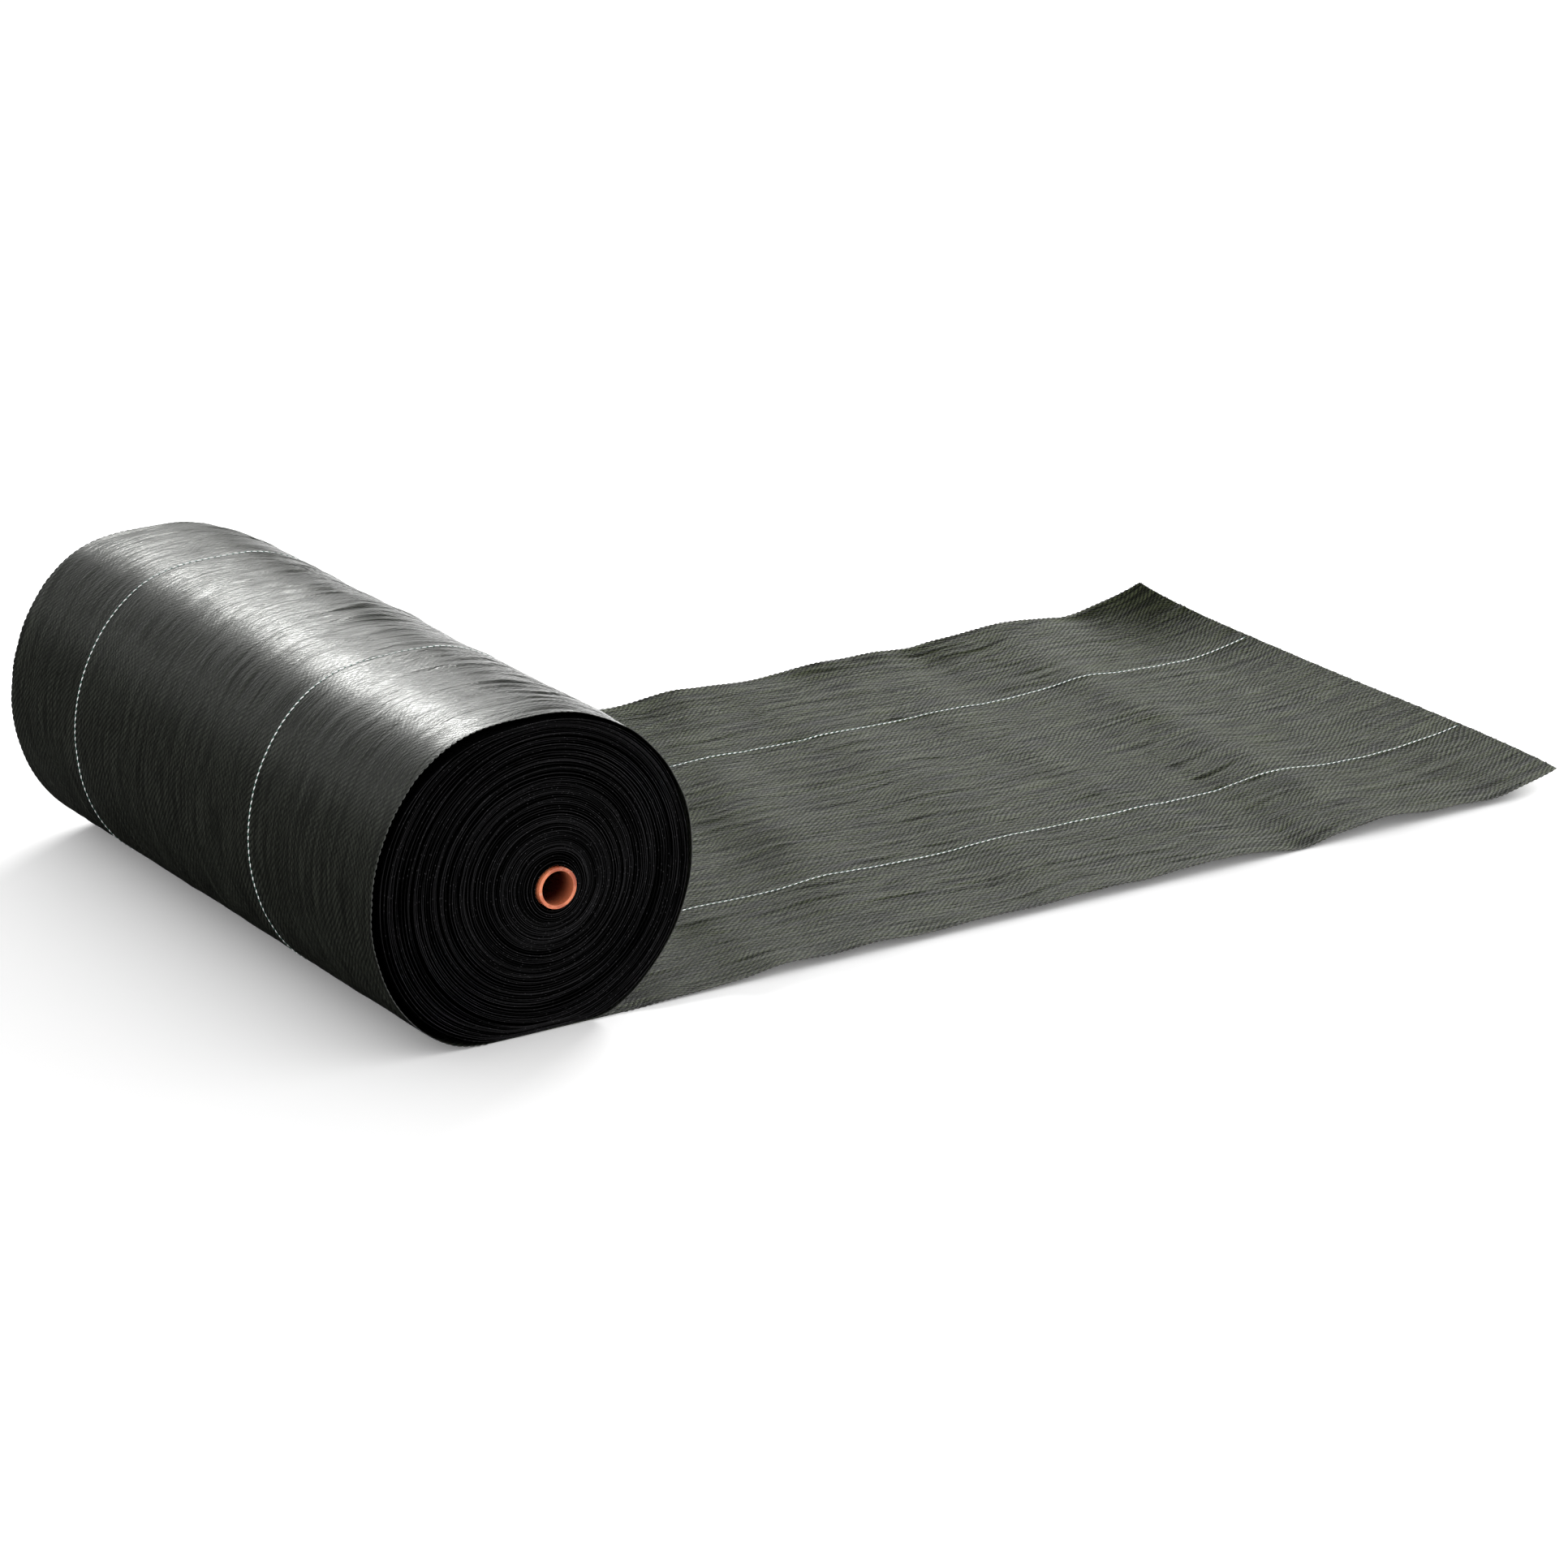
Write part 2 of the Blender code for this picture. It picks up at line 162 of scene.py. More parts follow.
class Finish:
    """A material: plain numbers on its shader's own sockets, and nodes for what changes."""

    def __init__(self, name, **plain):
        self.material = bpy.data.materials.new(name)
        self.material.use_nodes = True
        self.tree = self.material.node_tree
        self.shader = self.tree.nodes["Principled BSDF"]
        for socket, number in plain.items():
            self.shader.inputs[socket.replace("_", " ")].default_value = number

    def node(self, kind, settings=None, sockets=None, outputs=(0,)):
        """Adds one node: its settings first, then the numbers or links of its sockets. Gives the
        value of its output, or a list of them where more than one is named."""
        made = self.tree.nodes.new("ShaderNode" + kind)
        for setting, choice in (settings or {}).items():
            setattr(made, setting, choice)
        for socket, term in (sockets or {}).items():
            if isinstance(term, Value):
                self.tree.links.new(term.socket, made.inputs[socket])
            else:
                made.inputs[socket].default_value = term
        values = [Value(self, made.outputs[output]) for output in outputs]
        return values if len(values) > 1 else values[0]

    def place(self):
        """The place on the piece itself, in metres."""
        return self.node("TexCoord", outputs=("Object",))

    def cloth_place(self):
        """The place on the piece's own map: on a cloth, where it lay before it was wound."""
        return self.node("UVMap", {"uv_map": "cloth"})

    def parts(self, place):
        """The three numbers of a place."""
        return self.node("SeparateXYZ", None, {0: place}, (0, 1, 2))

    def stretched(self, place, scale):
        """A place with each direction multiplied by its own number."""
        return self.node("VectorMath", {"operation": "MULTIPLY"}, {0: place, 1: scale})

    def mottle(self, place, scale, detail=2.0, roughness=0.5):
        """Soft random patches, 0 to 1."""
        return self.node("TexNoise", None, {"Vector": place, "Scale": scale, "Detail": detail,
                                            "Roughness": roughness})

    def steps(self, number, low, high):
        """0 on the side of `low`, 1 on the side of `high`, with a soft rise between."""
        return self.node("MapRange", {"interpolation_type": "SMOOTHSTEP"},
                         {"Value": number, "From Min": low, "From Max": high})

    def mixed(self, share, first, second):
        """Two colours mixed by a share of 0 to 1."""
        first, second = [c if isinstance(c, Value) else (*c, 1.0) for c in (first, second)]
        return self.node("Mix", {"data_type": "RGBA"}, {0: share, 6: first, 7: second}, (2,))

    def bump(self, height, depth, under=None):
        """Normals from a height of 0 to 1 that stands for `depth` metres."""
        sockets = {"Height": height, "Distance": depth, "Strength": 1.0}
        if under is not None:
            sockets["Normal"] = under
        return self.node("Bump", None, sockets)

    def wear(self, **links):
        """Joins changing values to the shader's sockets."""
        for socket, value in links.items():
            self.tree.links.new(value.socket, self.shader.inputs[socket.replace("_", " ")])

    def onto(self, piece):
        """Makes this the one finish of a piece."""
        piece.data.materials.clear()
        piece.data.materials.append(self.material)


tube_low, tube_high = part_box("core_tube")
AXIS_X = (tube_low.x + tube_high.x) / 2
AXIS_Z = (tube_low.z + tube_high.z) / 2
NEAR_RIM = tube_low.y + CORE_PUSH
TUBE_ENDS = (tube_low.y, tube_high.y)


def core_profile():
    """(radius, y) round the wall's section: over the near cut end, along the outside, over the
    far end and back along the bore. A cut end sinks by a half sine between its edges, and rounds
    off towards them by the eighth power of the distance from its middle."""
    share = np.linspace(0, 1, WALL_STEPS)
    radius = CORE_BORE + (CORE_RADIUS - CORE_BORE) * share
    sunk = CUT_GROOVE * np.sin(np.pi * share) + LIP * (2 * share - 1) ** 8
    near = np.stack([radius, TUBE_ENDS[0] + sunk], axis=1)
    far = np.stack([radius[::-1], TUBE_ENDS[1] - sunk[::-1]], axis=1)
    along = np.linspace(*TUBE_ENDS, LENGTH_STEPS + 2)[1:-1]
    outside = np.stack([np.full(LENGTH_STEPS, CORE_RADIUS), along], axis=1)
    inside = np.stack([np.full(LENGTH_STEPS, CORE_BORE), along[::-1]], axis=1)
    return np.vstack([near, outside, far, inside])


def turned(profile, sides):
    """The profile carried round the roll's axis: (x, z) = axis + radius (cos, sin)."""
    angle = np.arange(sides)[:, None] * TURN / sides
    radius, y = profile[None, :, 0], profile[None, :, 1]
    points = grid_points(AXIS_X + radius * np.cos(angle), y, AXIS_Z + radius * np.sin(angle))
    return points.reshape(-1, 3), grid_faces(sides, len(profile), round_rows=True)


core = build("core_pipe", *turned(core_profile(), CORE_SIDES))
core_plastic = Finish("core_plastic", Specular_IOR_Level=0.5)
place = core_plastic.place()
dust = core_plastic.mottle(core_plastic.stretched(place, (1, 0.25, 1)), 260, 4, 0.62)
clouds = core_plastic.steps(core_plastic.mottle(place, 90, 3), 0.36, 0.60)
skin = core_plastic.mixed(clouds, CORE_SHADE, CORE_COLOUR)
skin = core_plastic.mixed(core_plastic.steps(dust, 0.52, 0.74) * 0.75, skin, CORE_DUST)
x, y, z = core_plastic.parts(place)
bore_side = core_plastic.steps((x - AXIS_X) ** 2 + (z - AXIS_Z) ** 2,
                               (CORE_BORE + BORE_FILM[0]) ** 2, (CORE_BORE + BORE_FILM[1]) ** 2)
# The bore is painted near-black from a little way in at each end: painted shade inside the pipe.
half_length = (TUBE_ENDS[1] - TUBE_ENDS[0]) / 2
unshaded = core_plastic.steps(abs(y - (TUBE_ENDS[0] + TUBE_ENDS[1]) / 2),
                           half_length - BORE_SHADE_DEPTH[0], half_length + BORE_SHADE_DEPTH[1])
bore = core_plastic.mixed(unshaded, BORE_SHADE, CORE_COLOUR)
core_plastic.wear(
    Base_Color=core_plastic.mixed(bore_side, skin, bore),
    Roughness=core_plastic.steps(dust, 0.3, 0.8) * 0.3 + 0.32,
    Normal=core_plastic.bump(dust, DUST_DEPTH))
core_plastic.onto(core)
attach(core, "roll")
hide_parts("core_tube")

# ---------------------------------------------------------------------------------------------
# The tape under the first turn: cream double-sided tape that holds the cloth's inner end on the
# tube. It is hidden by the wound cloth but for its cut edges.
TAPE_COLOUR = (0.62, 0.56, 0.40)
TAPE_STAIN = (0.42, 0.34, 0.20)
TAPE_GRAIN = 0.0001

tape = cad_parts["core_tape"]
tape_paper = Finish("tape_paper", Roughness=0.35)
place = tape_paper.place()
fibres = tape_paper.mottle(tape_paper.stretched(place, (1, 0.08, 1)), 900, 3)
tape_paper.wear(
    Base_Color=tape_paper.mixed(tape_paper.mottle(place, 60, 4), TAPE_COLOUR, TAPE_STAIN),
    Normal=tape_paper.bump(fibres, TAPE_GRAIN))
tape_paper.onto(tape)

# ---------------------------------------------------------------------------------------------
# The wound cloth: one long woven length of black plastic tape yarn, wound tightly on the tube.
# The turns have slid out towards the near end, most of all next to the tube, and no two stand
# exactly flush, so the end of the roll is a shallow, ragged cone of thin selvedges.
CLOTH_WIDTH = 0.61
THICKNESS = 0.00042
WOUND_NODES = ("inner_wound_turns", "middle_wound_turns", "outer_wound_turns")
WOUND_TURNS = 70
WOUND_START = 0.01735
WOUND_END = 0.1099
STEPS_A_TURN = 360
PITCH_SPREAD = 0.55
PITCH_LIMITS = (0.35, 2.2)
STATION_STEP = 0.003
WOUND_ACROSS = np.array([0, 0.0008, 0.003, 0.25, 0.5, 0.607, 0.6092, CLOTH_WIDTH])
WOUND_PUSH = 0.0199
WOUND_STAGGER = 0.0011
LEAN_SHARE = 0.8
LEAN_TWIST = 30
WOUND_FRAY = 0.00022
WOUND_WANDER = 0.0003
# The weave: the pitch of its tapes and of its diagonal ribs in metres, the sizes of its noises
# as times a metre, and the strength of each set of ribs outside the patches and in them.
WARP_PITCH = 0.00119
RIB_ALONG = 0.0055
RIB_ACROSS = 0.00477
BEND_SCALE = 26
BEND_REACH = 0.010
PATCH_SCALE = 14
MAIN_RIBS = (0.42, 0.26)
CROSS_RIBS = (0.06, 0.28)
DASH_SCALE = 800
DASH_STRETCH = 0.15
STREAK_SCALE = 280
STREAK_STRETCH = 0.06
OWN_SHADE_SHARE = 0.2
# Along both selvedges the colour is painted lighter, in stretches and fine glints: painted
# highlight of the thin edges. These set the band's width and the sizes of its two noises.
RIM_HIGHLIGHT_BAND = 0.0004
LIT_STRETCH_SCALE = 8
GLINT_SCALE = 420
# The wound cloth's first two colours are a far darker copy of the cloth's own: painted shade of
# the roll's end, where little light gets between the turns. The third is a paler edge colour,
# painted highlight on the thin selvedges.
WOUND_SHADED_COLOUR = (0.0005, 0.0005, 0.0006)
WOUND_SHADED_PALE = (0.0025, 0.0025, 0.0027)
WOUND_RIM_HIGHLIGHT = (0.062, 0.060, 0.064)


def blurred(seed, shape, blur):
    """Random heights on a grid, blurred by bell curves of `blur` cells each way and scaled to a
    mean square of one. They run on smoothly from the last cell to the first."""
    field = np.random.default_rng(seed).standard_normal(shape)
    for axis, width in enumerate(blur):
        wave = np.fft.fftfreq(shape[axis])
        wave = wave.reshape([-1 if k == axis else 1 for k in range(len(shape))])
        bell_curve = np.exp(-2 * (np.pi * width * wave) ** 2)
        field = np.fft.ifft(np.fft.fft(field, axis=axis) * bell_curve, axis=axis).real
    return field / field.std()


def smooth(share):
    """0 to 1 with flat ends: 3 s squared less 2 s cubed."""
    share = np.clip(share, 0, 1)
    return share * share * (3 - 2 * share)


def between(pair, share):
    """From the first number of a pair to the second, in a straight line."""
    return pair[0] + (pair[1] - pair[0]) * share


def cloth(name, middle, flat):
    """A closed sheet of cloth round a middle surface, a grid of points (along, across, 3). Each
    face lies half the thickness from it, along the surface's normal, and the four edges are
    closed. `flat` is the place of each grid point on the flat cloth."""
    along, across = np.gradient(middle, axis=0), np.gradient(middle, axis=1)
    normal = np.cross(along, across)
    normal /= np.linalg.norm(normal, axis=2, keepdims=True)
    half = THICKNESS / 2 * normal
    rows, columns = middle.shape[:2]
    ring = np.hstack([middle + half, (middle - half)[:, ::-1]])
    ring_flat = np.hstack([flat, flat[:, ::-1]])
    upper = np.arange(columns)
    lower = 2 * columns - 1 - upper
    ends = np.stack([upper[:-1], lower[:-1], lower[1:], upper[1:]], axis=1)
    last = (rows - 1) * 2 * columns + ends[:, ::-1]
    quads = np.vstack([grid_faces(rows, 2 * columns)[:, ::-1], ends[:, ::-1], last[:, ::-1]])
    return build(name, ring.reshape(-1, 3), quads, flat=ring_flat.reshape(-1, 2))


def wound_line():
    """The wound cloth's path seen from its end, at even steps along it: the angle, the radius,
    the turn and the length. The radius grows by a random share of the even pitch, at least a
    third of it, so that some turns lie close and others leave a dark gap."""
    turn = np.linspace(0, WOUND_TURNS, WOUND_TURNS * STEPS_A_TURN)
    pitch = np.clip(1 + PITCH_SPREAD * blurred(3, turn.shape, (230,)), *PITCH_LIMITS)
    grown = np.cumsum(pitch)
    share = (grown - grown[0]) / (grown[-1] - grown[0])
    radius = WOUND_START + (WOUND_END - WOUND_START) * share
    length = np.concatenate([[0], np.cumsum(radius[1:] * np.diff(turn) * TURN)])
    even = np.arange(0, length[-1], STATION_STEP)
    turn_there = np.interp(even, length, turn)
    return turn_there * TURN, np.interp(even, length, radius), turn_there, even


def wound_push(angle, radius, count):
    """How far each place of the wound cloth has slid out: the square of its share of the way in,
    a slow stagger along the cloth, groups of turns that lean together, by the sine of an angle
    that twists with the radius, and the fine fray of the selvedge."""
    inward = (WOUND_END - radius) / (WOUND_END - WOUND_START)
    groups = np.interp(radius, np.linspace(0, WOUND_END, 400), blurred(5, (400,), (9,)))
    lean = LEAN_SHARE * groups * np.sin(angle + LEAN_TWIST * radius)
    stagger = blurred(7, (count,), (90,)) + lean
    push = WOUND_PUSH * inward ** 2 + WOUND_STAGGER * stagger * smooth(6 * inward)
    return push + WOUND_FRAY * blurred(9, (count,), (1.2,))


def out_of_round(angle, radius):
    """How far the turns stand from their circle: a slow noise of the angle, the same for all of
    them, that fades out at the tube and at the outermost turn."""
    inward = (WOUND_END - radius) / (WOUND_END - WOUND_START)
    half_degree = (np.degrees(angle) * 2).astype(int) % 720
    wander = WOUND_WANDER * blurred(11, (720,), (30,))[half_degree]
    return wander * smooth(4 * inward) * smooth(6 * (1 - inward))


def weave_looks(finish, dark, light, rim, fold_depth, crown_depth, roughness, painted_fold_shade):
    """The weave from the flat place of each point, with the yarns bent aside by a slow noise.
    The tapes' crowns are the sum of two sets of diagonal ribs, sin 2 pi (across / a - along / b)
    and sin 2 pi (across / a + along / b), broken up by short dashes along the cloth. The first
    set is the stronger, but in soft patches the second comes up to it. The colour runs from
    `dark` in the hollows to `light` on the crowns: painted shade in the hollows and painted
    sheen on the crowns, over each warp tape's own tone. Long thin streaks stand up as folds,
    and the cloth is painted darker along them by a given share: painted shade of the folds.
    The crowns are smoother than the hollows. Along both selvedges the colour is painted
    lighter, towards the given edge colour, in some stretches more than in others and in fine
    glints: painted highlight of the thin edges."""
    flat = finish.cloth_place()
    along, across, _ = finish.parts(flat)
    bent = across + finish.mottle(flat, BEND_SCALE, 1) * BEND_REACH
    warp = bent * (TURN / RIB_ACROSS)
    weft = along * (TURN / RIB_ALONG)
    patches = finish.steps(finish.mottle(flat, PATCH_SCALE, 1), 0.40, 0.62)
    ribs = (warp - weft).sine() * between(MAIN_RIBS, patches) + 0.5
    ribs = ribs + (warp + weft).sine() * between(CROSS_RIBS, patches)
    drawn = finish.node("CombineXYZ", None, {0: along * DASH_STRETCH, 1: bent})
    dashes = finish.mottle(drawn, DASH_SCALE, 1)
    crown = finish.steps(ribs * 0.6 + dashes * 0.9, 0.48, 1.02)
    drawn = finish.node("CombineXYZ", None, {0: along * STREAK_STRETCH, 1: bent})
    streaks = finish.mottle(drawn, STREAK_SCALE, 3, 0.55)
    tape_number = (bent * (1 / WARP_PITCH)).whole()
    own = finish.node("TexWhiteNoise", {"noise_dimensions": "1D"}, {"W": tape_number})
    # Painted shade and sheen: the weave's hollows and folds are painted darker and its crowns
    # lighter, over each tape's own tone.
    shade = crown * (1 - OWN_SHADE_SHARE) + own * OWN_SHADE_SHARE
    shade = shade * (finish.steps(streaks, 0.38, 0.60) * painted_fold_shade + (1 - painted_fold_shade))
    # Painted highlight: the selvedges are painted lighter, in stretches and in fine glints.
    edge = (across < RIM_HIGHLIGHT_BAND) + (across > CLOTH_WIDTH - RIM_HIGHLIGHT_BAND)
    lit_stretches = finish.mottle(finish.stretched(flat, (1, 0, 0)), LIT_STRETCH_SCALE, 1)
    lit_stretches = finish.steps(lit_stretches, 0.38, 0.66)
    glints = finish.steps(finish.mottle(flat, GLINT_SCALE, 0), 0.66, 0.74)
    rim_highlights = edge * (lit_stretches * 0.35 + glints * 0.65)
    folds = finish.bump(streaks, fold_depth)
    finish.wear(
        Base_Color=finish.mixed(rim_highlights, finish.mixed(shade, dark, light), rim),
        Roughness=roughness - crown * 0.12,
        Normal=finish.bump(crown, crown_depth, folds))


angle, radius, turn, length = wound_line()
push = wound_push(angle, radius, len(length))
radius = radius + out_of_round(angle, radius)
wound = grid_points(AXIS_X + (radius * np.cos(angle))[:, None],
                    NEAR_RIM - push[:, None] + WOUND_ACROSS,
                    AXIS_Z + (radius * np.sin(angle))[:, None])
wound_flat = grid_points(length[:, None], WOUND_ACROSS)
# A darker, duller copy of the cloth's finish: painted shade for the end of the roll.
shaded_wound_weave = Finish("wound_cloth", Specular_IOR_Level=0.03)
weave_looks(shaded_wound_weave, WOUND_SHADED_COLOUR, WOUND_SHADED_PALE, WOUND_RIM_HIGHLIGHT,
            fold_depth=0.0005, crown_depth=0.00015, roughness=0.48, painted_fold_shade=0.65)
breaks = [0, *np.searchsorted(turn, [WOUND_TURNS / 3, 2 * WOUND_TURNS / 3]), len(turn) - 1]
for number, node in enumerate(WOUND_NODES):
    part = slice(breaks[number], breaks[number + 1] + 1)
    piece = cloth(node.replace("turns", "cloth"), wound[part], wound_flat[part])
    shaded_wound_weave.onto(piece)
    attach(piece, "roll")
    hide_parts(node)
    reach = float(length[part][-1] - length[part][0])

# ---------------------------------------------------------------------------------------------
# The slack turns: the same cloth, where the outer turns of the roll have come loose. They have
# sagged flat underneath, under the roll's weight, and stand away from each other on the left.
# At the crest their far selvedges droop, and the last of them is pushed towards the near end.
ROLL_RADIUS = 0.1303
SLACK_START = 0.1111
SLACK_BULGE = 0.016
BULGE_BELL = (174, 65, 6)
GROUND_BLEND = 0.006
LEAST_BLEND = 0.0003
RIM_DROOP = 0.004
DROOP_REACH = 0.045
DROOP_BELL = (86, 34, 4)
RIM_PUSH = 0.007
PUSH_BELL = (88, 52, 4)
INNER_SLACK_TURNS = 13
SLACK_STEPS_A_TURN = 168
SLACK_SPREAD = 0.4
SLACK_LIMITS = (0.4, 1.8)
LOOSE_SHARE = 0.76
LAST_TURN_SHARE = 5 / 6
SLACK_STAGGER = 0.0009
SLACK_FRAY = 0.0002
SLACK_ACROSS = np.array([0, 0.0008, 0.004, 0.015, 0.04, 0.3, 0.56, 0.58, 0.597, 0.606, 0.6092,
                         CLOTH_WIDTH])


def raised(height, least, blend):
    """The height, but never under the least one: the two meet in a parabola `blend` either side
    of where they cross."""
    over = np.maximum(blend - abs(height - least), 0)
    return np.maximum(height, least) + over ** 2 / (4 * blend)


def bell(angle, direction, spread, power):
    """1 at a direction and less to both sides, by exp(-(apart / spread) to a power), with both in
    degrees. `apart` runs from minus half a turn to half a turn."""
    apart = (angle - np.radians(direction) + np.pi) % TURN - np.pi
    return np.exp(-(apart / np.radians(spread)) ** power)


def slack_point(angle, share, layer, y, lift=0.0):
    """A point of the slack turns. The radius runs from the wound cloth's to the outline's by
    `share`, and `lift` adds to it. The outline is a circle with one flat-topped bulge on the
    left. The height never goes under the place of the turn's `layer` in the stack between roll
    and ground. The crest droops towards the far rim by a smooth step."""
    outline = ROLL_RADIUS - THICKNESS / 2
    outline = outline + SLACK_BULGE * bell(angle, *BULGE_BELL)
    radius = SLACK_START + (outline - SLACK_START) * share
    lowest = SLACK_START + (AXIS_Z - THICKNESS / 2 - SLACK_START) * layer
    blend = np.clip(radius - lowest, LEAST_BLEND, GROUND_BLEND)
    far = smooth((y - NEAR_RIM - CLOTH_WIDTH + DROOP_REACH) / DROOP_REACH)
    radius = radius + lift - RIM_DROOP * far * bell(angle, *DROOP_BELL) * share ** 2
    z = raised(AXIS_Z + radius * np.sin(angle), AXIS_Z - lowest, blend)
    return grid_points(AXIS_X + radius * np.cos(angle), y, z)


def travelled(line):
    """The length along a line of points, at each of them."""
    return np.concatenate([[0], np.cumsum(np.linalg.norm(np.diff(line, axis=0), axis=1))])


turn = np.linspace(0, INNER_SLACK_TURNS, INNER_SLACK_TURNS * SLACK_STEPS_A_TURN + 1)
angle = -np.pi / 2 + TURN * turn
# The turns share the slack unevenly, and the last tenth of one climbs to the outermost turn.
weight = np.cumsum(np.clip(1 + SLACK_SPREAD * blurred(13, turn.shape, (70,)), *SLACK_LIMITS))
share = LOOSE_SHARE * (weight - weight[0]) / (weight[-1] - weight[0])
share += (LAST_TURN_SHARE - LOOSE_SHARE) * smooth((turn - INNER_SLACK_TURNS + 0.1) / 0.1)
# At the near end they stand uneven by a slow stagger and by the fray of the selvedge, which grow
# over the first half turn. The last turn is pushed out at its crest as well. All of it fades
# over the last eighth of a turn.
stagger = SLACK_STAGGER * blurred(17, turn.shape, (60,))
stagger = stagger + SLACK_FRAY * blurred(19, turn.shape, (1.2,))
last = smooth((turn - INNER_SLACK_TURNS + 1.1) / 0.3)
push = -stagger * smooth(2 * turn) + RIM_PUSH * bell(angle, *PUSH_BELL) * last
push *= smooth(8 * (INNER_SLACK_TURNS - turn))
middle = slack_point(angle[:, None], share[:, None], turn[:, None] / (INNER_SLACK_TURNS + 1),
                     NEAR_RIM - push[:, None] + SLACK_ACROSS)
length = travelled(middle[:, 5])
slack = cloth("inner_slack_turns", middle, grid_points(length[:, None], SLACK_ACROSS))
# The slack turns take the same darker finish: painted shade.
shaded_wound_weave.onto(slack)
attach(slack, "laid_cloth")
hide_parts("slack_turns")

# ---------------------------------------------------------------------------------------------
# The outermost turn: the last turn before the cloth lies on the ground. Lengthwise creases from
# the winding run over it, and a few deeper dents cross the crest of the roll.
TOP_ROWS = 170
TOP_COLUMNS = 288
TURN_RADIUS = 0.134
CREASE_HEIGHT = 0.00021
CROWN_GAIN = 1.4
CROWN_BELL = (68, 30, 2)
WAVE_HEIGHT = 0.0006
WAVE_BLUR = (0.05, 0.03)
LIFT_RISE = (0.04, 0.12)
LIFT_FALL = (0.93, 0.10)
# Each dent: its place across the cloth, its depth, and how far aside its hollow and ridge lie.
DENTS = ((0.280, 0.0010, 0.006), (0.308, 0.0013, 0.007), (0.344, 0.0010, 0.006))
DENT_BELL = (84, 20, 2)
# The creases: the length and width of the fine and the broad ones, and of what bends them.
FINE_CREASE = (0.018, 0.0012)
BROAD_CREASE = (0.032, 0.0026)
BROAD_SHARE = 0.8
CREASE_BEND = (0.016, 0.020)
CREASE_DRIFT = 0.004
# The cloth's colours: its near-black, a paler grey that the crowns are painted towards, painted
# sheen over the tapes' own tone, and a paler edge colour, painted highlight on the selvedges.
CLOTH_COLOUR = (0.0045, 0.0051, 0.0041)
CLOTH_PALE = (0.037, 0.041, 0.032)
RIM_HIGHLIGHT = (0.058, 0.054, 0.057)
ROLL_SHEEN = (0.97, 1.0, 0.92, 1.0)


def creases(seed, shape, spacing):
    """Long creases that wander: blurred noise that is long one way and narrow the other, read at
    places shifted sideways by a slower noise, so that no crease stays straight. `spacing` is the
    distance between the grid's rows and between its columns."""
    rows, columns = shape
    field = blurred(seed, shape, np.divide(FINE_CREASE, spacing))
    field += BROAD_SHARE * blurred(seed + 1, shape, np.divide(BROAD_CREASE, spacing))
    drift = CREASE_DRIFT / spacing[1] * blurred(seed + 2, shape, np.divide(CREASE_BEND, spacing))
    column = (np.arange(columns) + drift) % columns
    left = np.floor(column).astype(int)
    part = column - left
    row = np.arange(rows)[:, None]
    moved = (1 - part) * field[row, left % columns] + part * field[row, (left + 1) % columns]
    return moved / moved.std()


share = np.linspace(0, 1, TOP_ROWS)[:, None]
angle = -np.pi / 2 + TURN * share
across = np.linspace(0, CLOTH_WIDTH, TOP_COLUMNS)[None]
shape = (TOP_ROWS, TOP_COLUMNS)
spacing = (TURN * TURN_RADIUS / TOP_ROWS, CLOTH_WIDTH / TOP_COLUMNS)
lift = CREASE_HEIGHT * (1 + CROWN_GAIN * bell(angle, *CROWN_BELL)) * creases(23, shape, spacing)
lift += WAVE_HEIGHT * blurred(29, shape, np.divide(WAVE_BLUR, spacing))
# A dent is one wave of a sine in the cloth's width, under a bell curve both ways.
for place, depth, width in DENTS:
    wave = np.sin((across - place) / width) * np.exp(-((across - place) / (1.6 * width)) ** 2)
    lift += depth * wave * bell(angle, *DENT_BELL)
# Nothing lifts at the two ends of the turn, where it runs on into the next stretch of cloth.
lift *= smooth((share - LIFT_RISE[0]) / LIFT_RISE[1])
lift *= smooth((LIFT_FALL[0] - share) / LIFT_FALL[1])
layer = (INNER_SLACK_TURNS + share) / (INNER_SLACK_TURNS + 1)
outward = LAST_TURN_SHARE + (1 - LAST_TURN_SHARE) * share
top = slack_point(angle, outward, layer, NEAR_RIM + across, lift)
top_length = travelled(top[:, TOP_COLUMNS // 2])
outer = cloth("outermost_turn", top, grid_points(top_length[:, None], across))
weave = Finish("woven_cloth", Specular_IOR_Level=0.5, Specular_Tint=ROLL_SHEEN)
weave_looks(weave, CLOTH_COLOUR, CLOTH_PALE, RIM_HIGHLIGHT,
            fold_depth=0.0015, crown_depth=0.00007, roughness=0.45, painted_fold_shade=0.65)
weave.onto(outer)
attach(outer, "laid_cloth")
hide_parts("slack_turns")

# ---------------------------------------------------------------------------------------------
# The laid length: the cloth rolled out on the ground. It keeps the wave of the roll, so low folds
# cross it, its selvedges stand a little off the ground, and its free end curls up. Its colour is
# painted paler and greener than the cloth on the roll: painted sheen, for the light that it
# catches lying open.
LAID_REACH = 1.005
LAID_ROWS = 152
LAID_COLUMNS = 322
BASE_RISE = 0.001
SELVEDGE_RISE = (0.0055, 0.007)
SELVEDGE_REACH = 0.055
RISE_START = 0.058
RISE_RUN = 0.120
END_CURL_LENGTH = 0.080
END_LIFT = (0.013, 0.0165)
MIDDLE_LIFT_SHARE = 0.55
CORNER_PULL = (0.028, 0.010)
REST_BLEND = 0.0008
RIPPLE_BLEND = 0.0004
